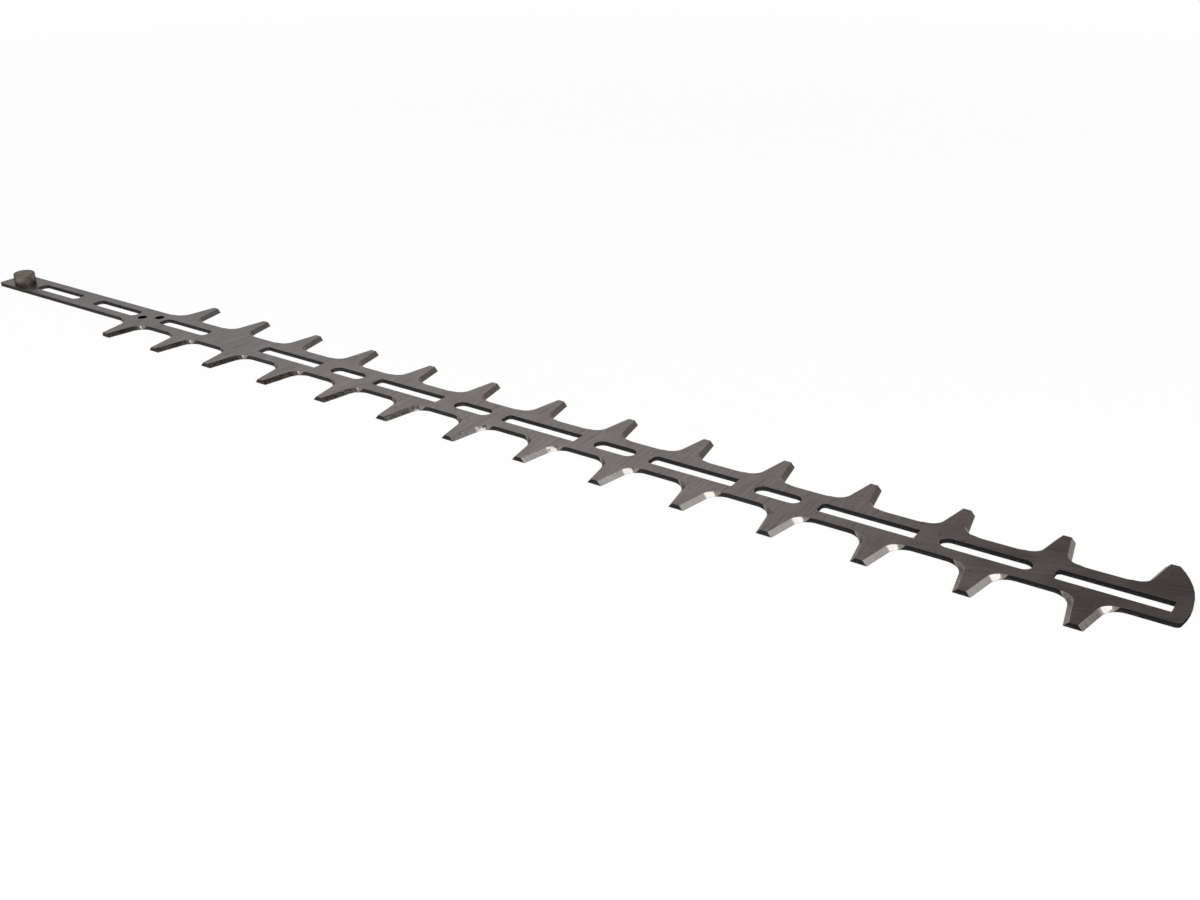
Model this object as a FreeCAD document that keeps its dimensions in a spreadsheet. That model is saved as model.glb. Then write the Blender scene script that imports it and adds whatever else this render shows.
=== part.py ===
import FreeCAD, Part
import math
import os

import Sketcher

# A reciprocating blade for a hedge trimmer, lying flat with its drive pin up.
# Millimetres and degrees. In each body X runs from the drive pin to the tip, Z is up,
# and the underside of the plate is at Z = 0.

SIZES = {
    # sheet
    "plate_thickness": 1.8,
    "plate_width": 18.0,
    "tail_width": 16.0,
    "tail_overhang": 11.0,
    "tail_corner_radius": 1.6,
    # teeth
    "tooth_pitch": 35.0,
    "tooth_count": 14,
    "first_tooth_x": 98.5,
    "tooth_reach": 26.5,
    "tooth_tip_width": 6.1,
    "flank_angle": 10.5,
    "root_radius": 6.5,
    "tail_root_radius": 8.0,
    "first_tooth_nose_radius": 3.0,
    # ground bevel on the flanks
    "bevel_width": 1.6,
    "bevel_end_angle": 45.0,
    "bevel_runout_angle": 56.0,
    "grinding_overrun": 2.0,
    # rounded end
    "tip_overhang": 10.5,
    "tip_radius": 40.5,
    "tip_centre_y": 1.0,
    "tip_corner_radius": 2.0,
    "hook_corner_radius": 0.6,
    # openings down the middle
    "slot_width": 6.7,
    "tail_slot_start": 13.3,
    "tail_slot_web": 12.9,
    "tail_slot_to_tooth": 8.3,
    "third_slot_length": 32.0,
    "third_slot_from_tooth": 25.8,
    "tail_slot_corner_radius": 2.3,
    "teeth_per_window": 2,
    "window_length": 36.2,
    "window_from_tooth": 26.4,
    "window_corner_radius": 1.7,
    "window_sharp_radius": 0.4,
    "guide_slot_length": 18.3,
    "guide_slot_from_tooth": 26.8,
    "end_guide_slot_length": 31.5,
    "end_window_web": 7.2,
    "end_window_wall": 5.0,
    # pair of small holes
    "small_hole_diameter": 4.0,
    "small_hole_from_tooth": 1.1,
    "small_hole_spacing_x": 7.5,
    "small_hole_spacing_y": 4.3,
    # drive pin and its seat
    "pin_diameter": 10.5,
    "pin_height": 5.2,
    "pin_edge_radius": 0.8,
    "spigot_diameter": 7.0,
    "rivet_diameter": 8.6,
    "rivet_depth": 0.8,
}

doc = FreeCAD.newDocument("hedge_trimmer_blade")
sheet = doc.addObject("Spreadsheet::Sheet", "Sizes")
for row, (alias, number) in enumerate(SIZES.items(), start=1):
    sheet.set(f"A{row}", alias)
    sheet.set(f"B{row}", str(number))
    sheet.setAlias(f"B{row}", alias)
doc.recompute()

# Expressions for the lengths that several sketches share
FLANK = "(Sizes.flank_angle * 1 deg)"
GAP_AT_TIP = "(Sizes.tooth_pitch - Sizes.tooth_tip_width) / 2"
HOOK_X = "(Sizes.first_tooth_x + (Sizes.tooth_count - 0.5) * Sizes.tooth_pitch)"
TIP_X = f"({HOOK_X} + Sizes.tip_overhang)"
FRAME_SHIFT = f"-({TIP_X} - Sizes.tail_overhang) / 2"


def point(x, y):
    return FreeCAD.Vector(x, y, 0)


def line(sketch, start, end):
    return sketch.addGeometry(Part.LineSegment(point(*start), point(*end)))


def arc(sketch, centre, radius, start_angle, end_angle):
    """An arc run anticlockwise between two angles in radians."""
    circle = Part.Circle(point(*centre), FreeCAD.Vector(0, 0, 1), radius)
    return sketch.addGeometry(Part.ArcOfCircle(circle, start_angle, end_angle))


def fix(sketch, *terms):
    return sketch.addConstraint(Sketcher.Constraint(*terms))


def bind(sketch, expression, *terms):
    """A dimension whose value follows the sheet."""
    index = fix(sketch, *terms)
    sketch.setExpression(f"Constraints[{index}]", expression)


def origin_feature(body, role):
    return next(f for f in body.Origin.OriginFeatures if f.Role == role)


def sketch_on(body, name, role="XY_Plane"):
    sketch = body.newObject("Sketcher::SketchObject", name)
    sketch.AttachmentSupport = [(origin_feature(body, role), "")]
    sketch.MapMode = "FlatFace"
    return sketch


def cut_through(body, name, sketch):
    """A cut from the underside up through the plate."""
    pocket = body.newObject("PartDesign::Pocket", name)
    pocket.Profile = sketch
    pocket.Type = "ThroughAll"
    pocket.Reversed = True
    body.Tip = pocket
    doc.recompute()
    return pocket


def repeat_along(body, name, feature, count, spacing):
    """Copies of a cut along the blade, by a count and a spacing read from the sheet."""
    pattern = body.newObject("PartDesign::LinearPattern", name)
    pattern.Originals = [feature]
    pattern.Direction = (origin_feature(body, "X_Axis"), [""])
    pattern.setExpression("Length", f"({count} - 1) * {spacing}")
    pattern.setExpression("Occurrences", count)
    body.Tip = pattern
    doc.recompute()
    return pattern


blade = doc.addObject("PartDesign::Body", "blade")
blade.Label = "blade"

# Blank: the plate before the gaps between the teeth are cut, with a narrower tail,
# a step to the tooth tips on each side and a rounded end.
half_tail = SIZES["tail_width"] / 2
half_plate = SIZES["plate_width"] / 2
reach = SIZES["tooth_reach"]
tail_x = -SIZES["tail_overhang"]
near_start_x = SIZES["first_tooth_x"] - SIZES["tooth_pitch"] / 2
far_start_x = SIZES["first_tooth_x"]
hook_x = SIZES["first_tooth_x"] + (SIZES["tooth_count"] - 0.5) * SIZES["tooth_pitch"]
tip_x = hook_x + SIZES["tip_overhang"]
tip_centre = (tip_x - SIZES["tip_radius"], SIZES["tip_centre_y"])


def tip_edge(y):
    """X of the rounded end at a given Y."""
    return tip_centre[0] + math.sqrt(SIZES["tip_radius"] ** 2 - (y - tip_centre[1]) ** 2)


def tip_angle(y):
    return math.asin((y - tip_centre[1]) / SIZES["tip_radius"])


outline = sketch_on(blade, "blank_outline")
corners = [
    (tail_x, -half_tail),
    (near_start_x, -half_tail),
    (near_start_x, -reach),
    (hook_x, -reach),
    (hook_x, -half_plate),
    (tip_edge(-half_plate), -half_plate),
]
near_run = [line(outline, a, b) for a, b in zip(corners, corners[1:])]
round_end = arc(outline, tip_centre, SIZES["tip_radius"], tip_angle(-half_plate), tip_angle(reach))
corners = [
    (tip_edge(reach), reach),
    (far_start_x, reach),
    (far_start_x, half_tail),
    (tail_x, half_tail),
    (tail_x, -half_tail),
]
far_run = [line(outline, a, b) for a, b in zip(corners, corners[1:])]
loop = near_run + [round_end] + far_run
for before, after in zip(loop, loop[1:] + loop[:1]):
    fix(outline, "Coincident", before, 2, after, 1)
for edge in near_run[0::2] + far_run[0::2]:
    fix(outline, "Horizontal", edge)
for edge in near_run[1::2] + far_run[1::2]:
    fix(outline, "Vertical", edge)
bind(outline, "Sizes.tail_overhang", "DistanceX", near_run[0], 1, -1, 1, -tail_x)
bind(outline, "Sizes.tail_width / 2", "DistanceY", near_run[0], 1, -1, 1, half_tail)
bind(outline, "Sizes.first_tooth_x - Sizes.tooth_pitch / 2",
     "DistanceX", -1, 1, near_run[1], 1, near_start_x)
bind(outline, "Sizes.tooth_reach", "DistanceY", near_run[2], 1, -1, 1, reach)
bind(outline, HOOK_X, "DistanceX", -1, 1, near_run[3], 1, hook_x)
bind(outline, "Sizes.plate_width / 2", "DistanceY", near_run[4], 1, -1, 1, half_plate)
bind(outline, "Sizes.tip_radius", "Radius", round_end, SIZES["tip_radius"])
bind(outline, f"{TIP_X} - Sizes.tip_radius", "DistanceX", -1, 1, round_end, 3, tip_centre[0])
bind(outline, "Sizes.tip_centre_y", "DistanceY", -1, 1, round_end, 3, tip_centre[1])
bind(outline, "Sizes.tooth_reach", "DistanceY", -1, 1, far_run[0], 1, reach)
bind(outline, "Sizes.first_tooth_x", "DistanceX", -1, 1, far_run[1], 1, far_start_x)
bind(outline, "Sizes.tail_width / 2", "DistanceY", -1, 1, far_run[2], 1, half_tail)

blank = blade.newObject("PartDesign::Pad", "blank")
blank.Profile = outline
blank.setExpression("Length", "Sizes.plate_thickness")
blade.Tip = blank
doc.recompute()


def upright_edge(feature, x, y):
    """The name of the upright edge of a plate that stands at a place in plan."""
    tolerance = 0.01
    for number, edge in enumerate(feature.Shape.Edges, start=1):
        ends = [vertex.Point for vertex in edge.Vertexes]
        if all(math.hypot(end.x - x, end.y - y) < tolerance for end in ends):
            return f"Edge{number}"
    raise ValueError(f"no upright edge at {x:.2f}, {y:.2f}")


def round_corners(name, places, size):
    feature = blade.Tip
    rounding = blade.newObject("PartDesign::Fillet", name)
    rounding.Base = (feature, [upright_edge(feature, x, y) for x, y in places])
    rounding.setExpression("Radius", f"Sizes.{size}")
    blade.Tip = rounding
    doc.recompute()


round_corners("tail_corners", [(tail_x, -half_tail), (tail_x, half_tail)], "tail_corner_radius")
round_corners("tip_corner", [(tip_edge(-half_plate), -half_plate)], "tip_corner_radius")
round_corners("hook_corner", [(tip_edge(reach), reach)], "hook_corner_radius")


# Openings down the middle of the plate. Windows have two rounded corners at the tail end and two
# sharper ones at the tip end. Guide slots have full round ends for the screws they slide on.
def window(sketch, start, end, start_text, end_text, start_corner, end_corner):
    """A window between two places along X, as wide as every slot."""
    half = SIZES["slot_width"] / 2
    left = SIZES[start_corner]
    right = SIZES[end_corner]
    turn = math.pi / 2
    near = line(sketch, (start + left, -half), (end - right, -half))
    near_right = arc(sketch, (end - right, right - half), right, -turn, 0)
    tip_side = line(sketch, (end, right - half), (end, half - right))
    far_right = arc(sketch, (end - right, half - right), right, 0, turn)
    far = line(sketch, (end - right, half), (start + left, half))
    far_left = arc(sketch, (start + left, half - left), left, turn, 2 * turn)
    tail_side = line(sketch, (start, half - left), (start, left - half))
    near_left = arc(sketch, (start + left, left - half), left, 2 * turn, 3 * turn)
    ring = [near, near_right, tip_side, far_right, far, far_left, tail_side, near_left]
    for before, after in zip(ring, ring[1:] + ring[:1]):
        fix(sketch, "Tangent", before, 2, after, 1)
    fix(sketch, "Horizontal", near)
    fix(sketch, "Horizontal", far)
    fix(sketch, "Vertical", tip_side)
    fix(sketch, "Vertical", tail_side)
    for corner in (near_left, far_left):
        bind(sketch, f"Sizes.{start_corner}", "Radius", corner, left)
    for corner in (near_right, far_right):
        bind(sketch, f"Sizes.{end_corner}", "Radius", corner, right)
    bind(sketch, "Sizes.slot_width / 2", "DistanceY", near, 1, -1, 1, half)
    bind(sketch, "Sizes.slot_width / 2", "DistanceY", -1, 1, far, 1, half)
    bind(sketch, start_text, "DistanceX", -1, 1, tail_side, 1, start)
    bind(sketch, end_text, "DistanceX", -1, 1, tip_side, 1, end)


def guide_slot(sketch, start, length, start_text, length_text):
    """A slot with round ends, placed by its tail end."""
    radius = SIZES["slot_width"] / 2
    first = start + radius
    last = start + length - radius
    near = line(sketch, (first, -radius), (last, -radius))
    tip_end = arc(sketch, (last, 0), radius, -math.pi / 2, math.pi / 2)
    far = line(sketch, (last, radius), (first, radius))
    tail_end = arc(sketch, (first, 0), radius, math.pi / 2, 1.5 * math.pi)
    ring = [near, tip_end, far, tail_end]
    for before, after in zip(ring, ring[1:] + ring[:1]):
        fix(sketch, "Tangent", before, 2, after, 1)
    fix(sketch, "Horizontal", near)
    fix(sketch, "Equal", tip_end, tail_end)
    fix(sketch, "PointOnObject", tail_end, 3, -1)
    bind(sketch, "Sizes.slot_width / 2", "Radius", tail_end, radius)
    bind(sketch, f"{start_text} + Sizes.slot_width / 2", "DistanceX", -1, 1, tail_end, 3, first)
    bind(sketch, f"{length_text} - Sizes.slot_width", "DistanceX", tail_end, 3, tip_end, 3, last - first)


first_tooth = SIZES["first_tooth_x"]
spacing = SIZES["teeth_per_window"] * SIZES["tooth_pitch"]
SPACING = "(Sizes.teeth_per_window * Sizes.tooth_pitch)"
WINDOW_COUNT = "(floor(Sizes.tooth_count / Sizes.teeth_per_window) - Sizes.teeth_per_window)"

# Three slots with round corners: two in the tail and one past the first tooth
tail_slots = sketch_on(blade, "tail_slots_outline")
tail_end_x = first_tooth - SIZES["tail_slot_to_tooth"]
tail_length = (tail_end_x - SIZES["tail_slot_start"] - SIZES["tail_slot_web"]) / 2
TAIL_END = "(Sizes.first_tooth_x - Sizes.tail_slot_to_tooth)"
TAIL_LENGTH = f"(({TAIL_END} - Sizes.tail_slot_start - Sizes.tail_slot_web) / 2)"
THIRD_X = "Sizes.first_tooth_x + Sizes.third_slot_from_tooth"
third_x = first_tooth + SIZES["third_slot_from_tooth"]
half_third = SIZES["third_slot_length"] / 2
soft = "tail_slot_corner_radius"
window(tail_slots, SIZES["tail_slot_start"], SIZES["tail_slot_start"] + tail_length,
       "Sizes.tail_slot_start", f"Sizes.tail_slot_start + {TAIL_LENGTH}", soft, soft)
window(tail_slots, tail_end_x - tail_length, tail_end_x,
       f"{TAIL_END} - {TAIL_LENGTH}", TAIL_END, soft, soft)
window(tail_slots, third_x - half_third, third_x + half_third,
       f"{THIRD_X} - Sizes.third_slot_length / 2", f"{THIRD_X} + Sizes.third_slot_length / 2", soft, soft)
cut_through(blade, "tail_slots", tail_slots)

# Windows between the guide slots
windows = sketch_on(blade, "window_outline")
window_x = first_tooth + spacing + SIZES["window_from_tooth"]
half_window = SIZES["window_length"] / 2
WINDOW_X = f"Sizes.first_tooth_x + {SPACING} + Sizes.window_from_tooth"
window(windows, window_x - half_window, window_x + half_window, f"{WINDOW_X} - Sizes.window_length / 2",
       f"{WINDOW_X} + Sizes.window_length / 2", "window_corner_radius", "window_sharp_radius")
first_window = cut_through(blade, "first_window", windows)
repeat_along(blade, "windows", first_window, WINDOW_COUNT, SPACING)

# Guide slots, one between each two windows
guides = sketch_on(blade, "guide_slot_outline")
guide_x = (first_tooth + spacing + SIZES["tooth_pitch"] + SIZES["guide_slot_from_tooth"]
           - SIZES["guide_slot_length"] / 2)
GUIDE_X = (f"(Sizes.first_tooth_x + {SPACING} + Sizes.tooth_pitch + Sizes.guide_slot_from_tooth"
           " - Sizes.guide_slot_length / 2)")
guide_slot(guides, guide_x, SIZES["guide_slot_length"], GUIDE_X, "Sizes.guide_slot_length")
first_guide = cut_through(blade, "first_guide_slot", guides)
repeat_along(blade, "guide_slots", first_guide, f"({WINDOW_COUNT} - 1)", SPACING)

# At the tip end the last guide slot is longer, and the last window fills what is left
window_count = SIZES["tooth_count"] // SIZES["teeth_per_window"] - SIZES["teeth_per_window"]
end_guide_x = guide_x + (window_count - 1) * spacing
END_GUIDE_X = f"({GUIDE_X} + ({WINDOW_COUNT} - 1) * {SPACING})"
end_openings = sketch_on(blade, "end_openings_outline")
guide_slot(end_openings, end_guide_x, SIZES["end_guide_slot_length"],
           END_GUIDE_X, "Sizes.end_guide_slot_length")
window(end_openings, end_guide_x + SIZES["end_guide_slot_length"] + SIZES["end_window_web"],
       tip_x - SIZES["end_window_wall"],
       f"{END_GUIDE_X} + Sizes.end_guide_slot_length + Sizes.end_window_web",
       f"{TIP_X} - Sizes.end_window_wall", "window_corner_radius", "window_sharp_radius")
cut_through(blade, "end_openings", end_openings)

# Two small holes set cornerwise by the first tooth
small_holes = sketch_on(blade, "small_holes_outline")
hole_x = first_tooth + SIZES["small_hole_from_tooth"]
for sign in (-1, 1):
    x = hole_x + sign * SIZES["small_hole_spacing_x"] / 2
    y = sign * SIZES["small_hole_spacing_y"] / 2
    radius = SIZES["small_hole_diameter"] / 2
    hole = small_holes.addGeometry(Part.Circle(point(x, y), FreeCAD.Vector(0, 0, 1), radius))
    HOLE_X = f"Sizes.first_tooth_x + Sizes.small_hole_from_tooth + {sign} * Sizes.small_hole_spacing_x / 2"
    bind(small_holes, "Sizes.small_hole_diameter", "Diameter", hole, 2 * radius)
    bind(small_holes, HOLE_X, "DistanceX", -1, 1, hole, 3, x)
    ends = (-1, 1, hole, 3) if sign > 0 else (hole, 3, -1, 1)
    bind(small_holes, "Sizes.small_hole_spacing_y / 2", "DistanceY", *ends, abs(y))
cut_through(blade, "small_holes", small_holes)


# Seat of the drive pin: a hole through the tail, countersunk from below. The pin's spigot fills it
# and is riveted flush, so the seat and the spigot are drawn from the same edges.
thickness = SIZES["plate_thickness"]
spigot_radius = SIZES["spigot_diameter"] / 2
rivet_radius = SIZES["rivet_diameter"] / 2


def spigot_edges(sketch):
    """Foot, countersink and wall of the spigot, on a half section to the right of the axis."""
    foot = line(sketch, (0, 0), (rivet_radius, 0))
    countersink = line(sketch, (rivet_radius, 0), (spigot_radius, SIZES["rivet_depth"]))
    wall = line(sketch, (spigot_radius, SIZES["rivet_depth"]), (spigot_radius, thickness))
    fix(sketch, "Coincident", foot, 1, -1, 1)
    fix(sketch, "Horizontal", foot)
    fix(sketch, "Coincident", foot, 2, countersink, 1)
    fix(sketch, "Coincident", countersink, 2, wall, 1)
    fix(sketch, "Vertical", wall)
    bind(sketch, "Sizes.rivet_diameter / 2", "DistanceX", -1, 1, foot, 2, rivet_radius)
    bind(sketch, "Sizes.spigot_diameter / 2", "DistanceX", -1, 1, wall, 1, spigot_radius)
    bind(sketch, "Sizes.rivet_depth", "DistanceY", -1, 1, wall, 1, SIZES["rivet_depth"])
    bind(sketch, "Sizes.plate_thickness", "DistanceY", -1, 1, wall, 2, thickness)
    return foot, wall


seat_section = sketch_on(blade, "pin_seat_section", "XZ_Plane")
foot, wall = spigot_edges(seat_section)
mouth = line(seat_section, (spigot_radius, thickness), (0, thickness))
axis = line(seat_section, (0, thickness), (0, 0))
fix(seat_section, "Coincident", wall, 2, mouth, 1)
fix(seat_section, "Coincident", mouth, 2, axis, 1)
fix(seat_section, "Coincident", axis, 2, foot, 1)
fix(seat_section, "Horizontal", mouth)
fix(seat_section, "Vertical", axis)
pin_seat = blade.newObject("PartDesign::Groove", "pin_seat")
pin_seat.Profile = seat_section
pin_seat.ReferenceAxis = (seat_section, ["V_Axis"])
pin_seat.Angle = 360
blade.Tip = pin_seat
doc.recompute()


# Gaps between the teeth. Each is cut from a narrow outline on the underside to a wider one on the
# top face, which leaves both flanks ground to a bevel. Along the round of each root the bevel
# narrows and runs out, so the plate edge between two teeth stays upright.
def gap_profile(name, side, centre, root_half, root_radius, on_top):
    """One closed gap outline, drawn outward from the middle of the blade and set on its side."""
    angle = math.radians(SIZES["flank_angle"])
    inset = SIZES["bevel_width"] if on_top else 0.0
    end_angle = "bevel_runout_angle" if on_top else "bevel_end_angle"
    radius = SIZES[root_radius]
    root_y = SIZES[root_half] / 2
    outer_y = reach + SIZES["grinding_overrun"]
    outer_x = ((SIZES["tooth_pitch"] - SIZES["tooth_tip_width"]) / 2
               + SIZES["grinding_overrun"] * math.tan(angle) + inset / math.cos(angle))
    foot_x = (SIZES["tooth_pitch"] - SIZES["tooth_tip_width"]) / 2 - (reach - root_y) * math.tan(angle)
    centre_x = foot_x - radius * math.tan((math.pi / 2 - angle) / 2)
    centre_y = root_y + radius
    turn = angle + math.radians(SIZES[end_angle])
    end_dx = radius * math.cos(turn)
    end_y = centre_y - radius * math.sin(turn)
    # the bevel's own edge: an arc off the flank, through the point where the bevel ends
    along = radius * math.sin(turn - angle)
    across = radius + inset - radius * math.cos(turn - angle)
    edge_radius = (along ** 2 + across ** 2) / (2 * across) if on_top else radius
    edge_x = centre_x + (radius + inset - edge_radius) * math.cos(angle)
    edge_y = centre_y - (radius + inset - edge_radius) * math.sin(angle)
    flank_foot = (edge_x + edge_radius * math.cos(angle), edge_y - edge_radius * math.sin(angle))
    end_turn = math.atan2(edge_y - end_y, centre_x + end_dx - edge_x)

    sketch = sketch_on(blade, name)
    sketch.AttachmentOffset = FreeCAD.Placement(
        FreeCAD.Vector(0, 0, 0), FreeCAD.Rotation(FreeCAD.Vector(0, 0, 1), 180 if side == "near" else 0))
    sketch.setExpression("AttachmentOffset.Base.x", centre)
    if on_top:
        sketch.setExpression("AttachmentOffset.Base.z", "Sizes.plate_thickness")

    outer = line(sketch, (-outer_x, outer_y), (outer_x, outer_y))
    right_flank = line(sketch, (outer_x, outer_y), flank_foot)
    right_bevel = arc(sketch, (edge_x, edge_y), edge_radius, -end_turn, -angle)
    right_root = arc(sketch, (centre_x, centre_y), radius, -math.pi / 2, -turn)
    root = line(sketch, (centre_x, root_y), (-centre_x, root_y))
    left_root = arc(sketch, (-centre_x, centre_y), radius, math.pi + turn, 1.5 * math.pi)
    left_bevel = arc(sketch, (-edge_x, edge_y), edge_radius, math.pi + angle, math.pi + end_turn)
    left_flank = line(sketch, (-flank_foot[0], flank_foot[1]), (-outer_x, outer_y))

    fix(sketch, "Coincident", outer, 2, right_flank, 1)
    fix(sketch, "Tangent", right_flank, 2, right_bevel, 2)
    fix(sketch, "Coincident", right_bevel, 1, right_root, 2)
    fix(sketch, "Tangent", right_root, 1, root, 1)
    fix(sketch, "Tangent", root, 2, left_root, 2)
    fix(sketch, "Coincident", left_root, 1, left_bevel, 2)
    fix(sketch, "Tangent", left_bevel, 1, left_flank, 1)
    fix(sketch, "Coincident", left_flank, 2, outer, 1)
    fix(sketch, "Symmetric", outer, 1, outer, 2, -2)
    fix(sketch, "Horizontal", root)

    widen = " + Sizes.bevel_width / cos(FLANK)" if on_top else ""
    half_opening = f"{GAP_AT_TIP} + Sizes.grinding_overrun * tan(FLANK){widen}".replace("FLANK", FLANK)
    turn_text = f"({FLANK} + Sizes.{end_angle} * 1 deg)"
    radius_text = f"Sizes.{root_radius}"
    bind(sketch, half_opening, "DistanceX", -1, 1, outer, 2, outer_x)
    bind(sketch, "Sizes.tooth_reach + Sizes.grinding_overrun", "DistanceY", -1, 1, outer, 2, outer_y)
    bind(sketch, f"Sizes.{root_half} / 2", "DistanceY", -1, 1, root, 1, root_y)
    bind(sketch, radius_text, "Radius", right_root, radius)
    bind(sketch, radius_text, "Radius", left_root, radius)
    bind(sketch, f"{radius_text} * cos({turn_text})", "DistanceX", right_root, 3, right_root, 2, end_dx)
    bind(sketch, f"{radius_text} * cos({turn_text})", "DistanceX", left_root, 1, left_root, 3, end_dx)
    centre_text = (f"({GAP_AT_TIP} - (Sizes.tooth_reach - Sizes.{root_half} / 2) * tan({FLANK})"
                   f" - {radius_text} * tan((90 deg - {FLANK}) / 2))")
    bind(sketch, centre_text, "DistanceX", -1, 1, right_root, 3, centre_x)
    bind(sketch, centre_text, "DistanceX", left_root, 3, -1, 1, centre_x)
    if on_top:
        sin_end = f"({radius_text} * sin(Sizes.{end_angle} * 1 deg))"
        drop = f"({radius_text} + Sizes.bevel_width - {radius_text} * cos(Sizes.{end_angle} * 1 deg))"
        edge_text = f"(({sin_end} ^ 2 + {drop} ^ 2) / (2 * {drop}))"
        edge_centre = f"{centre_text} + ({radius_text} + Sizes.bevel_width - {edge_text}) * cos({FLANK})"
        bind(sketch, edge_text, "Radius", right_bevel, edge_radius)
        bind(sketch, edge_text, "Radius", left_bevel, edge_radius)
        bind(sketch, edge_centre, "DistanceX", -1, 1, right_bevel, 3, edge_x)
        bind(sketch, edge_centre, "DistanceX", left_bevel, 3, -1, 1, edge_x)
    else:
        fix(sketch, "Coincident", right_bevel, 3, right_root, 3)
        fix(sketch, "Coincident", left_bevel, 3, left_root, 3)
    return sketch


def cut_gap(name, side, centre, root_half="plate_width", root_radius="root_radius"):
    bottom = gap_profile(f"{name}_underside", side, centre, root_half, root_radius, False)
    top = gap_profile(f"{name}_top", side, centre, root_half, root_radius, True)
    gap = blade.newObject("PartDesign::SubtractiveLoft", name)
    gap.Profile = bottom
    gap.Sections = [top]
    gap.Ruled = True
    blade.Tip = gap
    doc.recompute()
    return gap


half_pitch = "Sizes.tooth_pitch / 2"
cut_gap("near_tail_gap", "near", f"Sizes.first_tooth_x - {half_pitch}", "tail_width", "tail_root_radius")
near_gap = cut_gap("near_gap", "near", f"Sizes.first_tooth_x + {half_pitch}")
repeat_along(blade, "near_gaps", near_gap, "Sizes.tooth_count", "Sizes.tooth_pitch")
cut_gap("far_tail_gap", "far", "Sizes.first_tooth_x", "tail_width", "tail_root_radius")
far_gap = cut_gap("far_gap", "far", "Sizes.first_tooth_x + Sizes.tooth_pitch")
repeat_along(blade, "far_gaps", far_gap, "(Sizes.tooth_count - 1)", "Sizes.tooth_pitch")

# The first tooth has a blunt nose: its corner towards the tail is rounded off.
nose = sketch_on(blade, "nose_outline")
nose_radius = SIZES["first_tooth_nose_radius"]
lean = math.radians(SIZES["flank_angle"])
nose_tangent = nose_radius * math.tan(math.pi / 4 - lean / 2)
nose_x = SIZES["first_tooth_x"] - SIZES["tooth_tip_width"] / 2 + nose_tangent
nose_y = nose_radius - reach
flank_y = nose_y - nose_radius * math.sin(lean)
outer_x = SIZES["first_tooth_x"] - SIZES["tooth_pitch"] / 2
outer_y = -reach - SIZES["grinding_overrun"]
nose_arc = arc(nose, (nose_x, nose_y), nose_radius, math.pi + lean, 1.5 * math.pi)
corners = [
    (nose_x, -reach),
    (nose_x, outer_y),
    (outer_x, outer_y),
    (outer_x, flank_y),
    (nose_x - nose_radius * math.cos(lean), flank_y),
]
nose_run = [line(nose, a, b) for a, b in zip(corners, corners[1:])]
loop = [nose_arc] + nose_run
for before, after in zip(loop, nose_run + [nose_arc]):
    fix(nose, "Coincident", before, 2, after, 1)
for edge in nose_run[0::2]:
    fix(nose, "Vertical", edge)
for edge in nose_run[1::2]:
    fix(nose, "Horizontal", edge)
fix(nose, "Vertical", nose_arc, 3, nose_arc, 2)
nose_lean = f"Sizes.first_tooth_nose_radius * sin({FLANK})"
nose_reach = f"Sizes.first_tooth_nose_radius * tan(45 deg - {FLANK} / 2)"
bind(nose, "Sizes.first_tooth_nose_radius", "Radius", nose_arc, nose_radius)
bind(nose, f"Sizes.first_tooth_x - Sizes.tooth_tip_width / 2 + {nose_reach}",
     "DistanceX", -1, 1, nose_arc, 3, nose_x)
bind(nose, "Sizes.tooth_reach - Sizes.first_tooth_nose_radius", "DistanceY", nose_arc, 3, -1, 1, -nose_y)
bind(nose, nose_lean, "DistanceY", nose_arc, 1, nose_arc, 3, nose_y - flank_y)
bind(nose, "Sizes.tooth_reach + Sizes.grinding_overrun", "DistanceY", nose_run[0], 2, -1, 1, -outer_y)
bind(nose, f"Sizes.first_tooth_x - {half_pitch}", "DistanceX", -1, 1, nose_run[1], 2, outer_x)
cut_through(blade, "first_tooth_nose", nose)


# Drive pin: a turned pin that stands with its shoulder on the plate and has a rounded top edge.
drive_pin = doc.addObject("PartDesign::Body", "drive_pin")
drive_pin.Label = "drive_pin"
pin_radius = SIZES["pin_diameter"] / 2
pin_top = thickness + SIZES["pin_height"]
round_off = SIZES["pin_edge_radius"]
pin_section = sketch_on(drive_pin, "pin_section", "XZ_Plane")
foot, wall = spigot_edges(pin_section)
shoulder = line(pin_section, (spigot_radius, thickness), (pin_radius, thickness))
side = line(pin_section, (pin_radius, thickness), (pin_radius, pin_top - round_off))
edge = arc(pin_section, (pin_radius - round_off, pin_top - round_off), round_off, 0, math.pi / 2)
head = line(pin_section, (pin_radius - round_off, pin_top), (0, pin_top))
axis = line(pin_section, (0, pin_top), (0, 0))
fix(pin_section, "Coincident", wall, 2, shoulder, 1)
fix(pin_section, "Coincident", shoulder, 2, side, 1)
fix(pin_section, "Tangent", side, 2, edge, 1)
fix(pin_section, "Tangent", edge, 2, head, 1)
fix(pin_section, "Coincident", head, 2, axis, 1)
fix(pin_section, "Coincident", axis, 2, foot, 1)
fix(pin_section, "Horizontal", shoulder)
fix(pin_section, "Horizontal", head)
fix(pin_section, "Vertical", side)
fix(pin_section, "Vertical", axis)
bind(pin_section, "Sizes.pin_diameter / 2", "DistanceX", -1, 1, side, 1, pin_radius)
bind(pin_section, "Sizes.plate_thickness + Sizes.pin_height", "DistanceY", -1, 1, head, 2, pin_top)
bind(pin_section, "Sizes.pin_edge_radius", "Radius", edge, round_off)
turned_pin = drive_pin.newObject("PartDesign::Revolution", "turned_pin")
turned_pin.Profile = pin_section
turned_pin.ReferenceAxis = (pin_section, ["V_Axis"])
turned_pin.Angle = 360
drive_pin.Tip = turned_pin
doc.recompute()

# Both pieces stand in one frame: its origin is under the middle of the blade.
for piece in (blade, drive_pin):
    piece.setExpression("Placement.Base.x", FRAME_SHIFT)
doc.recompute()

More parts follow.
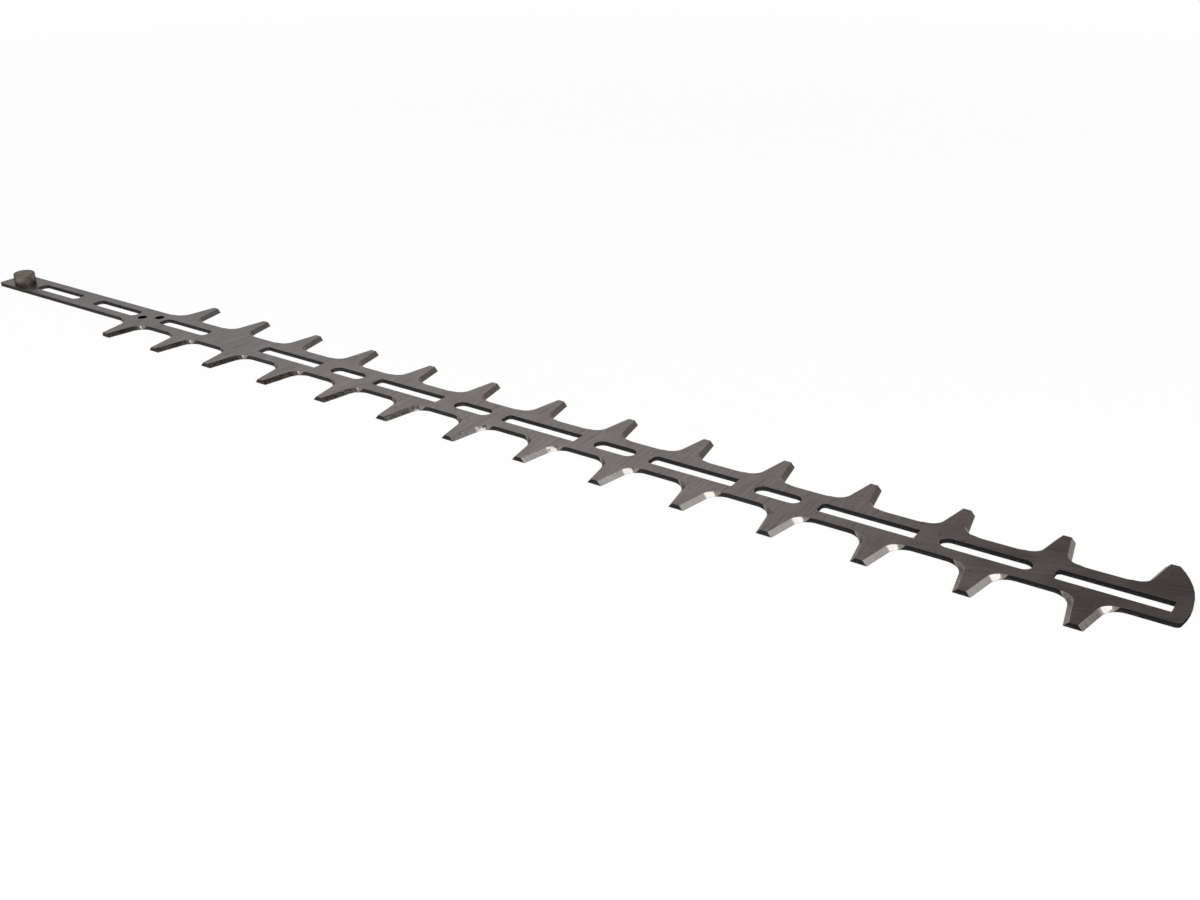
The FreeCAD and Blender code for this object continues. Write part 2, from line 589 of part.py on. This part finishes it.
for item in doc.Objects:
    if "Invalid" in item.State or "Error" in item.State:
        raise RuntimeError(f"{item.Label} did not compute: {item.State}")

os.makedirs("parts", exist_ok=True)
for piece in (blade, drive_pin):
    shape = piece.Shape
    if shape.isNull() or not shape.isValid() or len(shape.Solids) != 1:
        raise RuntimeError(f"{piece.Label} is not one sound solid")
    shape.exportStep(f"parts/{piece.Label}.step")
    print(piece.Label, "volume", round(shape.Volume, 1), "box", shape.BoundBox)
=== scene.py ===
import math

import bpy
from mathutils import Matrix, Vector


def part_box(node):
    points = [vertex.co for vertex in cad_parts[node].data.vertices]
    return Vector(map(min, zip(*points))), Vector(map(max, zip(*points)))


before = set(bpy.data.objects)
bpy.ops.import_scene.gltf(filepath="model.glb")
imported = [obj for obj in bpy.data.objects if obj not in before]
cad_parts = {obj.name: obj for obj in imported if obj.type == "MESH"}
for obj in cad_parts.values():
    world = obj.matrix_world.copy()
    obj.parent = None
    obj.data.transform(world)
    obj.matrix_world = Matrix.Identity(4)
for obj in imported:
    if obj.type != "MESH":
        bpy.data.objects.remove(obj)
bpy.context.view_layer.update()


# Blade: one strip of spring steel, blanked to shape, hardened, and ground flat on both faces.
# The flanks of the teeth are ground to a bevel afterwards, so they are the brightest part.
# The blanked edges keep the dark scale of the heat treatment.
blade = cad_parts["blade"]

ground_face_colour = (0.355, 0.329, 0.319, 1)
ground_face_shade = (0.198, 0.182, 0.176, 1)
bevel_colour = (0.42, 0.41, 0.385, 1)
bevel_shade = (0.345, 0.328, 0.302, 1)
bevel_speck = (0.55, 0.51, 0.46, 1)
bevel_stain = (0.14, 0.098, 0.072, 1)
scale_colour = (0.037, 0.037, 0.042, 1)
scale_worn_and_painted_light = (0.076, 0.073, 0.076, 1)
scale_painted_shade = (0.014, 0.013, 0.016, 1)
torn_colour = (0.120, 0.108, 0.098, 1)
chip_colour = (0.30, 0.28, 0.26, 1)
rust_colour = (0.055, 0.021, 0.012, 1)
pit_colour = (0.045, 0.040, 0.036, 1)
edge_painted_highlight = (0.52, 0.50, 0.48, 1)
hole_painted_shade = (0.010, 0.009, 0.009, 1)
blade_glancing_tint = (0.45, 0.44, 0.44, 1)

# sizes in metres: x runs from the tail to the tip, y across the strip and z up from its underside
cross_mark_centre = (0.55, 0.01, 0)
cross_mark_pitch = 0.00038
cross_mark_run = 0.026
long_mark_centre = (0.56, -0.74, 0)
long_mark_pitch = 0.00045
long_mark_run = 0.022
face_film_patch = 0.022
bevel_stain_patch = 0.006
root_radius = 0.006
small_hole_middles = ((-0.1894, -0.00215, 0), (-0.1819, 0.00215, 0))
hole_shade_full_radius = 0.0021
hole_shade_end_radius = 0.0024
corner_radius = 0.00015
mark_depth = 0.00005

# how many waves a pattern has in a metre
spot_rim_waves = 2600.0
slope_mark_waves = 1700.0
slope_run_waves = 90.0
bevel_grain_waves = 2400.0
scale_rub_waves = 900.0


def add(tree, kind, inputs=None, **settings):
    """A node with its settings, fed by other nodes' sockets or by plain values."""
    made = tree.nodes.new(kind)
    for name, value in settings.items():
        setattr(made, name, value)
    for socket, value in (inputs or {}).items():
        if isinstance(value, bpy.types.NodeSocket):
            tree.links.new(value, made.inputs[socket])
        else:
            made.inputs[socket].default_value = value
    return made


def sums(tree, operation, first, second=0.0, third=0.0, clamp=False):
    """One step of arithmetic."""
    step = add(tree, "ShaderNodeMath", {0: first, 1: second, 2: third},
               operation=operation, use_clamp=clamp)
    return step.outputs[0]


def product(tree, *values):
    """Two or more values multiplied in turn."""
    result = values[0]
    for value in values[1:]:
        result = sums(tree, "MULTIPLY", result, value)
    return result


def fade(tree, value, start, end, low=0.0, high=1.0):
    """A number that goes smoothly from low to high as the value goes from start to end."""
    step = add(tree, "ShaderNodeMapRange",
               {"Value": value, "From Min": start, "From Max": end, "To Min": low, "To Max": high},
               interpolation_type="SMOOTHSTEP")
    return step.outputs[0]


def blend_colour(tree, amount, first, second):
    """The first colour at amount 0 and the second at amount 1."""
    return add(tree, "ShaderNodeMix", {0: amount, 6: first, 7: second}, data_type="RGBA").outputs[2]


def blend_value(tree, amount, first, second):
    """The first value at amount 0 and the second at amount 1."""
    return add(tree, "ShaderNodeMix", {0: amount, 2: first, 3: second}, data_type="FLOAT").outputs[0]


def split(tree, vector):
    """The x, y and z of a vector."""
    return add(tree, "ShaderNodeSeparateXYZ", {0: vector}).outputs[:]


def join(tree, x, y):
    """A vector that lies flat, from its x and y."""
    return add(tree, "ShaderNodeCombineXYZ", {0: x, 1: y}).outputs[0]


def noise(tree, place, waves, detail, roughness=0.5, dimensions="3D"):
    """Clouds about one half, with so many waves in each unit of place."""
    clouds = add(tree, "ShaderNodeTexNoise",
                 {"Vector": place, "Scale": waves, "Detail": detail, "Roughness": roughness},
                 noise_dimensions=dimensions)
    return clouds.outputs[0]


def new_group(name, inputs, outputs):
    """An empty shader group with named sockets, and its two end nodes."""
    group = bpy.data.node_groups.new(name, "ShaderNodeTree")
    for label, kind, value in inputs:
        socket = group.interface.new_socket(name=label, in_out="INPUT", socket_type=kind)
        socket.default_value = value
    for label, kind in outputs:
        group.interface.new_socket(name=label, in_out="OUTPUT", socket_type=kind)
    return group, group.nodes.new("NodeGroupInput"), group.nodes.new("NodeGroupOutput")


def use_group(tree, group, **inputs):
    """What a shared effect puts out in a material that gives it its own values."""
    return add(tree, "ShaderNodeGroup", inputs, node_tree=group).outputs[0]


# grinding and turning marks: fine arcs about the centre that the wheel or the work turns on
marks_group, marks_in, marks_out = new_group(
    "cutting_marks",
    [("Place", "NodeSocketVector", (0, 0, 0)), ("Centre", "NodeSocketVector", (0, 0, 0)),
     ("Pitch", "NodeSocketFloat", 0.001), ("Run", "NodeSocketFloat", 0.03)],
    [("Marks", "NodeSocketFloat")])
arm = add(marks_group, "ShaderNodeVectorMath",
          {0: marks_in.outputs["Place"], 1: marks_in.outputs["Centre"]}, operation="SUBTRACT")
arm_x, arm_y, arm_z = split(marks_group, arm.outputs[0])
flat_arm = join(marks_group, arm_x, arm_y)
reach = add(marks_group, "ShaderNodeVectorMath", {0: flat_arm}, operation="LENGTH").outputs["Value"]
across = sums(marks_group, "ADD", reach, arm_z)
along = product(marks_group, sums(marks_group, "ARCTAN2", arm_y, arm_x), reach)
track = join(marks_group, sums(marks_group, "DIVIDE", across, marks_in.outputs["Pitch"]),
             sums(marks_group, "DIVIDE", along, marks_in.outputs["Run"]))
marks = noise(marks_group, track, waves=1.0, detail=3.0, roughness=0.62, dimensions="2D")
marks_group.links.new(marks, marks_out.inputs["Marks"])

# pits, rust and chips: a few small round spots, each in its own cell, with a ragged soft rim
spot_least = 0.35
spot_spread = 0.9
spot_rim = 1.9
spot_heart = 0.8
spots_group, spots_in, spots_out = new_group(
    "small_spots",
    [("Place", "NodeSocketVector", (0, 0, 0)), ("Spacing", "NodeSocketFloat", 0.01),
     ("Size", "NodeSocketFloat", 0.05), ("Share", "NodeSocketFloat", 0.1)],
    [("Spots", "NodeSocketFloat")])
spot_place = spots_in.outputs["Place"]
spot_size = spots_in.outputs["Size"]
ragged = noise(spots_group, spot_place, spot_rim_waves, detail=1.0)
spot_cells = add(spots_group, "ShaderNodeTexVoronoi",
                 {"Vector": spot_place, "Randomness": 1.0,
                  "Scale": sums(spots_group, "DIVIDE", 1.0, spots_in.outputs["Spacing"])},
                 voronoi_dimensions="2D")
spot_draws = add(spots_group, "ShaderNodeSeparateColor", {0: spot_cells.outputs["Color"]}).outputs
spot_chosen = sums(spots_group, "LESS_THAN", spot_draws[0], spots_in.outputs["Share"])
spot_growth = sums(spots_group, "MULTIPLY_ADD", spot_draws[1], spot_spread, spot_least)
spot_reach = product(spots_group, spot_size, spot_growth)
spot_edge = sums(spots_group, "MULTIPLY_ADD", ragged, spot_size, spot_cells.outputs["Distance"])
spot_body = add(spots_group, "ShaderNodeMapRange",
                {"Value": spot_edge, "From Min": product(spots_group, spot_reach, spot_rim),
                 "From Max": product(spots_group, spot_reach, spot_heart)})
spots = product(spots_group, spot_body.outputs[0], spot_chosen)
spots_group.links.new(spots, spots_out.inputs["Spots"])

# oil film, stains and handling: slow clouds
film_group, film_in, film_out = new_group(
    "dry_oil_film",
    [("Place", "NodeSocketVector", (0, 0, 0)), ("Patch", "NodeSocketFloat", 0.03)],
    [("Film", "NodeSocketFloat")])
film_waves = sums(film_group, "DIVIDE", 1.0, film_in.outputs["Patch"])
film_clouds = noise(film_group, film_in.outputs["Place"], film_waves, detail=4.0, roughness=0.6)
film_group.links.new(fade(film_group, film_clouds, 0.3, 0.7), film_out.inputs["Film"])

blade_steel = bpy.data.materials.new("ground_blade_steel")
blade_steel.use_nodes = True
steel = blade_steel.node_tree
steel.nodes.clear()
place = add(steel, "ShaderNodeTexCoord").outputs["Object"]
place_x, place_y, place_z = split(steel, place)
plain_normal = add(steel, "ShaderNodeNewGeometry").outputs["Normal"]
normal_x, normal_y, normal_z = split(steel, plain_normal)
level = sums(steel, "ABSOLUTE", normal_z)
face_mask = fade(steel, level, 0.90, 0.97)
wall_mask = fade(steel, level, 0.30, 0.10)

# ground faces: arcs across the strip, and a fainter set of marks that runs along it near the tip
long_mark_strength = 0.43
long_mark_lift = 0.285
film_strength = 0.30
cross_marks = use_group(steel, marks_group, Place=place, Centre=cross_mark_centre,
                        Pitch=cross_mark_pitch, Run=cross_mark_run)
long_marks = use_group(steel, marks_group, Place=place, Centre=long_mark_centre,
                       Pitch=long_mark_pitch, Run=long_mark_run)
faint_long_marks = sums(steel, "MULTIPLY_ADD", long_marks, long_mark_strength, long_mark_lift)
face_marks = blend_value(steel, fade(steel, place_x, 0.12, 0.26), cross_marks, faint_long_marks)
film = use_group(steel, film_group, Place=place, Patch=face_film_patch)
mark_tone = fade(steel, face_marks, 0.39, 0.61, 0.0, 0.7)
face_tone = sums(steel, "MULTIPLY_ADD", film, film_strength, mark_tone, clamp=True)
face_paint = blend_colour(steel, face_tone, ground_face_shade, ground_face_colour)

# bevels: short marks straight down the slope, and on the near teeth by the tail a coarser grind, with
# a brown stain in patches and specks that sparkle, which ends where the bevel turns into the root
speck_strength = 0.55
stain_everywhere = 0.10
stain_on_coarse = 0.90
turn = sums(steel, "ARCTAN2", normal_y, normal_x)
along_flank = sums(steel, "MULTIPLY_ADD", turn, -root_radius, place_y)
down_slope = sums(steel, "ADD", place_x, place_z)
slope_place = join(steel, product(steel, along_flank, slope_mark_waves),
                   product(steel, down_slope, slope_run_waves))
slope_marks = noise(steel, slope_place, waves=1.0, detail=2.0, dimensions="2D")
bevel_paint = blend_colour(steel, fade(steel, slope_marks, 0.30, 0.70), bevel_shade, bevel_colour)
tail_side = fade(steel, place_x, 0.035, -0.025)
near_side = fade(steel, place_y, 0.0, -0.006, 0.1, 1.0)
off_root = fade(steel, normal_y, -0.36, -0.56, 1.0, 0.15)
coarse_grind = product(steel, tail_side, near_side, off_root)
stain = use_group(steel, film_group, Place=place, Patch=bevel_stain_patch)
stain_share = sums(steel, "MULTIPLY_ADD", coarse_grind, stain_on_coarse, stain_everywhere)
stained = product(steel, stain, stain_share)
bevel_paint = blend_colour(steel, stained, bevel_paint, bevel_stain)
grain = noise(steel, place, bevel_grain_waves, detail=1.0)
specks = product(steel, fade(steel, grain, 0.60, 0.68), coarse_grind)
bevel_paint = blend_colour(steel, product(steel, specks, speck_strength), bevel_paint, bevel_speck)

# blanked edges: dark scale, rubbed lighter in specks, torn along the lower half and chipped here and
# there, with painted light that makes them lighter toward the tail and painted shade that darkens them
# toward the tip
rubbed = noise(steel, place, scale_rub_waves, detail=3.0, roughness=0.7)
wall_paint = blend_colour(steel, fade(steel, rubbed, 0.52, 0.78), scale_colour, scale_worn_and_painted_light)
# painted light: the edges grow lighter toward the tail; painted shade: they grow darker toward the tip
wall_paint = blend_colour(steel, fade(steel, place_x, 0.10, -0.15, 0.0, 0.75), wall_paint, scale_worn_and_painted_light)
wall_paint = blend_colour(steel, fade(steel, place_x, 0.13, 0.26, 0.0, 0.6), wall_paint, scale_painted_shade)
lower_half = fade(steel, place_z, 0.0009, 0.0004)
torn = product(steel, lower_half, fade(steel, rubbed, 0.42, 0.62, 0.0, 0.5))
wall_paint = blend_colour(steel, torn, wall_paint, torn_colour)
chips = use_group(steel, spots_group, Place=place, Spacing=0.0030, Size=0.06, Share=0.08)
wall_paint = blend_colour(steel, chips, wall_paint, chip_colour)

# pits all over, and rust spots on the faces and edges
pit_strength = 0.75
rust_strength = 0.85
rust = use_group(steel, spots_group, Place=place, Spacing=0.0090, Size=0.055, Share=0.22)
rust = product(steel, rust, sums(steel, "MAXIMUM", face_mask, wall_mask))
pits = use_group(steel, spots_group, Place=place, Spacing=0.0042, Size=0.085, Share=0.18)
paint = blend_colour(steel, face_mask, bevel_paint, face_paint)
paint = blend_colour(steel, wall_mask, paint, wall_paint)
paint = blend_colour(steel, product(steel, pits, pit_strength), paint, pit_colour)
paint = blend_colour(steel, product(steel, rust, rust_strength), paint, rust_colour)

# the corners are broken a little by tumbling, and carry a painted highlight along the faces and bevels
edge_highlight_strength = 0.6
round_normal = add(steel, "ShaderNodeBevel", {"Radius": corner_radius}, samples=6).outputs[0]
corner_turn = add(steel, "ShaderNodeVectorMath", {0: round_normal, 1: plain_normal},
                  operation="DOT_PRODUCT")
off_wall = sums(steel, "SUBTRACT", 1.0, wall_mask)
highlight_edges = product(steel, fade(steel, corner_turn.outputs["Value"], 0.995, 0.90), off_wall)
soft_normal = add(steel, "ShaderNodeMix", {0: off_wall, 4: plain_normal, 5: round_normal},
                  data_type="VECTOR")
# painted highlight: a light colour along the edges of the faces and bevels
paint = blend_colour(steel, product(steel, highlight_edges, edge_highlight_strength), paint, edge_painted_highlight)

# painted shade: the two small holes are painted black inside, fading out in a thin ring around their
# mouths
flat_place = join(steel, place_x, place_y)
from_holes = [
    add(steel, "ShaderNodeVectorMath", {0: flat_place, 1: middle}, operation="DISTANCE").outputs["Value"]
    for middle in small_hole_middles]
hole_shade = fade(steel, sums(steel, "MINIMUM", *from_holes), hole_shade_end_radius, hole_shade_full_radius)
paint = blend_colour(steel, hole_shade, paint, hole_painted_shade)

# marks and film roughen the faces, and the flanks that face the tail are duller than the others
clean_rough = 0.22
film_rough = 0.06
mark_rough = 0.14
speck_rough = 0.18
slope_rough = 0.10
wall_rough = 0.55
rust_rough = 0.45
filmed_rough = sums(steel, "MULTIPLY_ADD", film, film_rough, clean_rough)
face_rough = sums(steel, "MULTIPLY_ADD", face_marks, mark_rough, filmed_rough)
flank_rough = fade(steel, normal_x, -0.15, -0.50, 0.12, 0.34)
speckled_rough = sums(steel, "MULTIPLY_ADD", specks, speck_rough, flank_rough)
bevel_rough = sums(steel, "MULTIPLY_ADD", slope_marks, slope_rough, speckled_rough)
blade_rough = blend_value(steel, face_mask, bevel_rough, face_rough)
blade_rough = blend_value(steel, wall_mask, blade_rough, wall_rough)
rust_or_highlight_edges = sums(steel, "MAXIMUM", rust, highlight_edges)
blade_rough = sums(steel, "MAXIMUM", blade_rough, product(steel, rust_or_highlight_edges, rust_rough))

# the marks stand out in relief, lower on the bevels, and the pits are sunk
slope_relief = 0.3
pit_relief = 0.8
relief_strength = 0.35
rust_cover = 0.8
relief = blend_value(steel, face_mask, product(steel, slope_marks, slope_relief), face_marks)
relief = sums(steel, "SUBTRACT", relief, product(steel, pits, pit_relief))
blade_dents = add(steel, "ShaderNodeBump",
                  {"Strength": relief_strength, "Distance": mark_depth, "Height": relief,
                   "Normal": soft_normal.outputs[1]})
bare_metal = sums(steel, "MULTIPLY_ADD", rust, -rust_cover, 1.0)
blade_surface = add(steel, "ShaderNodeBsdfPrincipled",
                    {"Base Color": paint, "Roughness": blade_rough, "Metallic": bare_metal,
                     "Normal": blade_dents.outputs[0], "Specular Tint": blade_glancing_tint})
add(steel, "ShaderNodeOutputMaterial", {"Surface": blade_surface.outputs[0]})
blade.data.materials.clear()
blade.data.materials.append(blade_steel)


# Drive pin: a turned steel pin, hardened to a warm straw grey, with a shoulder on the tail.
# Its spigot goes through the strip and is riveted flush below, and the crank takes hold of the pin.
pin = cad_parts["drive_pin"]
pin_low, pin_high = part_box("drive_pin")
pin_axis = ((pin_low.x + pin_high.x) / 2, (pin_low.y + pin_high.y) / 2, 0)
end_lit_colour = (0.39, 0.356, 0.322, 1)
end_lit_dark_tone = (0.265, 0.242, 0.216, 1)
side_shaded_colour = (0.250, 0.222, 0.196, 1)
side_shaded_dark_tone = (0.160, 0.142, 0.122, 1)
pin_glancing_tint = (0.30, 0.285, 0.265, 1)
turning_pitch = 0.00045
turning_run = 0.012
pin_film_patch = 0.004
pin_film_strength = 0.3
pin_pit_strength = 0.5
clean_pin_rough = 0.30
turning_rough = 0.16
pin_steel = bpy.data.materials.new("turned_pin_steel")
pin_steel.use_nodes = True
turned = pin_steel.node_tree
turned.nodes.clear()
pin_place = add(turned, "ShaderNodeTexCoord").outputs["Object"]
turning = use_group(turned, marks_group, Place=pin_place, Centre=pin_axis,
                    Pitch=turning_pitch, Run=turning_run)
pin_film = use_group(turned, film_group, Place=pin_place, Patch=pin_film_patch)
turning_tone = fade(turned, turning, 0.3, 0.7, 0.0, 0.7)
pin_tone = sums(turned, "MULTIPLY_ADD", pin_film, pin_film_strength, turning_tone, clamp=True)
pin_normal = add(turned, "ShaderNodeNewGeometry").outputs["Normal"]
# painted light and shade: the end faces get a lighter copy of the steel's colour and the turned sides a
# darker one
pin_end = fade(turned, sums(turned, "ABSOLUTE", split(turned, pin_normal)[2]), 0.75, 0.95)
side_shaded_paint = blend_colour(turned, pin_tone, side_shaded_dark_tone, side_shaded_colour)
end_lit_paint = blend_colour(turned, pin_tone, end_lit_dark_tone, end_lit_colour)
pin_paint = blend_colour(turned, pin_end, side_shaded_paint, end_lit_paint)
pin_pits = use_group(turned, spots_group, Place=pin_place, Spacing=0.0022, Size=0.08, Share=0.2)
pin_paint = blend_colour(turned, product(turned, pin_pits, pin_pit_strength), pin_paint, pit_colour)
pin_rough = sums(turned, "MULTIPLY_ADD", turning, turning_rough, clean_pin_rough)
pin_dents = add(turned, "ShaderNodeBump",
                {"Strength": relief_strength, "Distance": mark_depth, "Height": turning})
pin_surface = add(turned, "ShaderNodeBsdfPrincipled",
                  {"Base Color": pin_paint, "Roughness": pin_rough, "Metallic": 1.0,
                   "Normal": pin_dents.outputs[0], "Specular Tint": pin_glancing_tint})
add(turned, "ShaderNodeOutputMaterial", {"Surface": pin_surface.outputs[0]})
pin.data.materials.clear()
pin.data.materials.append(pin_steel)


# Floor: a seamless sweep of white paper that the blade lies on. Seen directly it is white, with a faint
# share of the blade's soft shadow, and the steel mirrors it a little whiter than it is lit.
# From below it is clear, so that the underside can be looked at.
floor_half = 6.0
floor_drop = 0.00015
floor_colour = (0.86, 0.86, 0.86, 1)
mirrored_white = 0.2
floor_mesh = bpy.data.meshes.new("floor")
floor_mesh.from_pydata([(-floor_half, -floor_half, 0), (floor_half, -floor_half, 0),
                        (floor_half, floor_half, 0), (-floor_half, floor_half, 0)], [], [(0, 1, 2, 3)])
floor = bpy.data.objects.new("floor", floor_mesh)
floor.location.z = -floor_drop
bpy.context.scene.collection.objects.link(floor)
floor_paper = bpy.data.materials.new("white_paper")
floor_paper.use_nodes = True
paper = floor_paper.node_tree
paper.nodes.clear()
matt = add(paper, "ShaderNodeBsdfDiffuse", {"Color": floor_colour})
white = add(paper, "ShaderNodeEmission", {"Color": (1, 1, 1, 1), "Strength": 1.0})
path = add(paper, "ShaderNodeLightPath").outputs
paper_place = add(paper, "ShaderNodeTexCoord").outputs["Object"]
far_off = add(paper, "ShaderNodeVectorMath", {0: paper_place}, operation="LENGTH").outputs["Value"]
whiteness = fade(paper, far_off, 0.35, 1.6, 0.93, 1.0)
seen = product(paper, path["Is Camera Ray"], whiteness)
mirrored = sums(paper, "MAXIMUM", path["Is Glossy Ray"], path["Is Transmission Ray"])
white_share = sums(paper, "MAXIMUM", seen, product(paper, mirrored, mirrored_white))
upper_side = add(paper, "ShaderNodeMixShader", {0: white_share, 1: matt.outputs[0], 2: white.outputs[0]})
from_below = add(paper, "ShaderNodeNewGeometry").outputs["Backfacing"]
clear = add(paper, "ShaderNodeBsdfTransparent")
one_sided = add(paper, "ShaderNodeMixShader",
                {0: from_below, 1: upper_side.outputs[0], 2: clear.outputs[0]})
add(paper, "ShaderNodeOutputMaterial", {"Surface": one_sided.outputs[0]})
floor_mesh.materials.append(floor_paper)


# Studio light: a dim room with pale walls behind on the left and on the camera's side, and a grey ceiling
# with a dark opening toward the tip. A wide soft box stands off the tip, a panel behind on the right and a
# small box in front, and a box overhead fills in, without being mirrored in the steel.
left_tone = 0.86
near_tone = 0.60
back_tone = 0.36
opening_middle = (0.56, 0.15, 0.815)
warm_wall = (1.0, 0.90, 0.86, 1)
pale_wall = (1.0, 0.985, 0.985, 1)
cool_wall = (0.955, 0.965, 1.0, 1)
mirrored_room_white = 0.06
world = bpy.data.worlds.new("studio")
bpy.context.scene.world = world
world.use_nodes = True
room = world.node_tree
room.nodes.clear()
look = add(room, "ShaderNodeTexCoord").outputs["Generated"]
look_x, look_y, look_z = split(room, look)

# each wall lies between two fades in the x, y or z of the direction in which it is seen from the blade
left_end = fade(room, look_x, -0.45, -0.75, 0.0, 0.18)
left_sweep = sums(room, "ADD", fade(room, look_x, -0.14, -0.49), left_end)
left_wall = product(room, left_sweep, fade(room, look_y, 0.24, 0.50))
off_left_wall = sums(room, "SUBTRACT", 1.0, left_wall, clamp=True)
back_wall = product(room, fade(room, look_x, 0.25, 0.02), fade(room, look_y, 0.55, 0.85),
                    fade(room, look_z, 0.42, 0.31), off_left_wall)
dark_corner = product(room, fade(room, look_x, 0.18, 0.34), fade(room, look_y, -0.1, -0.5),
                      fade(room, look_z, 0.36, 0.54, 0.0, 0.92))
off_dark_corner = sums(room, "SUBTRACT", 1.0, dark_corner)
near_end = fade(room, look_x, 0.48, 0.64, 0.0, 0.6)
near_sweep = sums(room, "ADD", fade(room, look_x, -0.05, 0.12, 1.0, 0.7), near_end)
near_wall = product(room, fade(room, look_y, -0.1, -0.6), fade(room, look_x, -0.90, -0.40),
                    off_dark_corner, near_sweep)
tip_end = fade(room, look_x, -0.05, 0.25, 0.07, 0.22)
tail_end = fade(room, look_x, -0.80, -0.96, 0.0, 0.06)
end_walls = product(room, sums(room, "ADD", tip_end, tail_end), off_dark_corner)
high_left = product(room, fade(room, look_x, -0.35, -0.65), fade(room, look_y, 0.45, 0.20),
                    fade(room, look_z, 0.20, 0.34, 0.0, 0.42))
walls = sums(room, "MULTIPLY_ADD", near_wall, near_tone, end_walls)
walls = sums(room, "MULTIPLY_ADD", left_wall, left_tone, walls)
walls = sums(room, "MULTIPLY_ADD", back_wall, back_tone, walls)
walls = sums(room, "ADD", walls, high_left)

toward_opening = add(room, "ShaderNodeVectorMath", {0: look, 1: opening_middle}, operation="DOT_PRODUCT")
ceiling = product(room, fade(room, look_z, 0.62, 0.86, 0.0, 0.42),
                  fade(room, toward_opening.outputs["Value"], 0.80, 0.92, 1.0, 0.0))
room_tone = sums(room, "MULTIPLY_ADD", walls, fade(room, look_z, 0.52, 0.76, 1.0, 0.20), ceiling)
wall_colour = blend_colour(room, left_wall, warm_wall, pale_wall)
wall_colour = blend_colour(room, fade(room, look_x, -0.50, -0.72), wall_colour, cool_wall)
room_light = add(room, "ShaderNodeBackground", {"Color": wall_colour, "Strength": room_tone})
room_white = add(room, "ShaderNodeBackground", {"Color": (1, 1, 1, 1), "Strength": 1.0})
room_path = add(room, "ShaderNodeLightPath").outputs
room_mirrored = product(room, room_path["Is Glossy Ray"], mirrored_room_white)
room_through = sums(room, "MAXIMUM", room_path["Is Transmission Ray"], room_mirrored)
room_seen = sums(room, "MAXIMUM", room_path["Is Camera Ray"], room_through)
room_mix = add(room, "ShaderNodeMixShader",
               {0: room_seen, 1: room_light.outputs[0], 2: room_white.outputs[0]})
add(room, "ShaderNodeOutputWorld", {"Surface": room_mix.outputs[0]})


def soft_box(name, place, aim, width, height, brightness, mirrored=True):
    """An area lamp whose face has a given brightness, turned to a point."""
    lamp = bpy.data.lights.new(name, "AREA")
    lamp.shape = "RECTANGLE"
    lamp.size = width
    lamp.size_y = height
    lamp.energy = brightness * math.pi * width * height
    holder = bpy.data.objects.new(name, lamp)
    holder.location = place
    holder.rotation_euler = (Vector(aim) - Vector(place)).to_track_quat("-Z", "Y").to_euler()
    holder.visible_camera = False
    holder.visible_glossy = mirrored
    bpy.context.scene.collection.objects.link(holder)


soft_box("key_box", place=(1.0, -0.20, 0.60), aim=(0.1, -0.20, 0), width=1.36, height=0.68, brightness=2.4)
soft_box("right_panel", place=(1.25, 1.0, 0.80), aim=(0.15, 0, 0), width=0.6, height=0.82, brightness=0.66)
soft_box("near_box", place=(0.10, -1.0, 0.76), aim=(-0.15, 0, 0), width=0.26, height=0.42, brightness=1.7)
soft_box("fill_box", place=(-0.40, -0.85, 1.25), aim=(0, 0, 0), width=0.9, height=0.7, brightness=7.5,
         mirrored=False)


# Camera: the photograph's view, from the tip's side and a little above, with no shift or depth of field.
# Its focal length is given in pixels of an image of 1200 by 900, and it stands off the point it aims at.
image_width = 1200
focal_pixels = 1343.0
sensor_width = 36.0
azimuth = math.radians(34.085)
elevation = math.radians(25.595)
roll = math.radians(0.362)
distance = 0.521
aim = Vector((0.0788, -0.00106, 0.0))
back = Vector((math.sin(azimuth) * math.cos(elevation),
               -math.cos(azimuth) * math.cos(elevation),
               math.sin(elevation)))
level_right = back.cross(Vector((0, 0, 1))) * -1
level_right.normalize()
level_up = back.cross(level_right)
right = level_right * math.cos(roll) - level_up * math.sin(roll)
up = back.cross(right)
lens = bpy.data.cameras.new("camera")
lens.sensor_fit = "HORIZONTAL"
lens.sensor_width = sensor_width
lens.lens = focal_pixels / image_width * sensor_width
lens.clip_start = 0.01
camera = bpy.data.objects.new("camera", lens)
camera.matrix_world = Matrix((
    (right.x, up.x, back.x, aim.x + back.x * distance),
    (right.y, up.y, back.y, aim.y + back.y * distance),
    (right.z, up.z, back.z, aim.z + back.z * distance),
    (0, 0, 0, 1)))
bpy.context.scene.collection.objects.link(camera)
bpy.context.scene.camera = camera
bpy.context.scene.view_settings.view_transform = "Standard"
